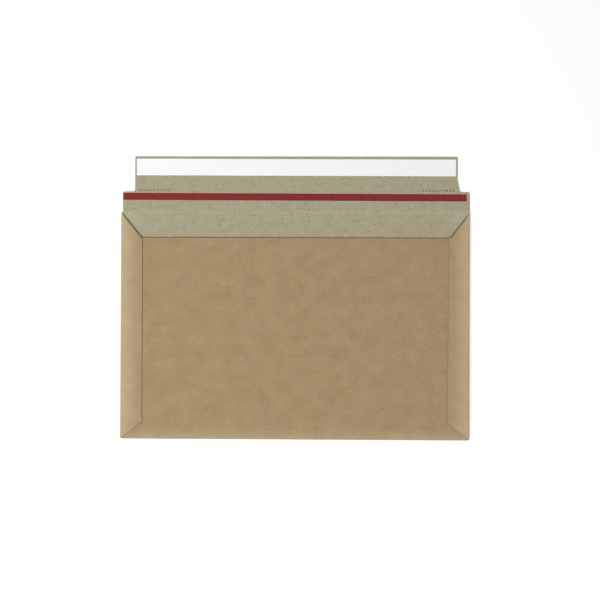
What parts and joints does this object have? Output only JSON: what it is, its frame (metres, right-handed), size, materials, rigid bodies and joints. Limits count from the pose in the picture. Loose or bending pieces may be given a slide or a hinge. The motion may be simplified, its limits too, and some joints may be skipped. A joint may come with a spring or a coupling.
{
  "type": "board mailing envelope",
  "caption": "Flat all-board mailing envelope, closing flap open to show the red tear tape and the white release liner over its closure adhesive.",
  "frame": {"origin": "middle of the outline on the surface that the back panel lies on", "axes": "+X to the right along the bottom fold, +Y from the bottom fold to the closing flap, +Z out of the front panel"},
  "size_m": [0.35, 0.284, 0.0027],
  "materials": {
    "kraft_board": "matt kraft outside, speckled grey recycled inside",
    "red_tape": "satin red film",
    "white_liner": "smooth coated white paper",
    "clear_adhesive": "tacky translucent adhesive",
    "pale_glue": "set packaging glue"
  },
  "bodies": {
    "root": {"envelope_blank": "kraft_board", "tear_tape": "red_tape", "closure_adhesive": "clear_adhesive", "release_liner": "white_liner", "left_flap_glue": "pale_glue", "right_flap_glue": "pale_glue"}
  },
  "joints": []
}
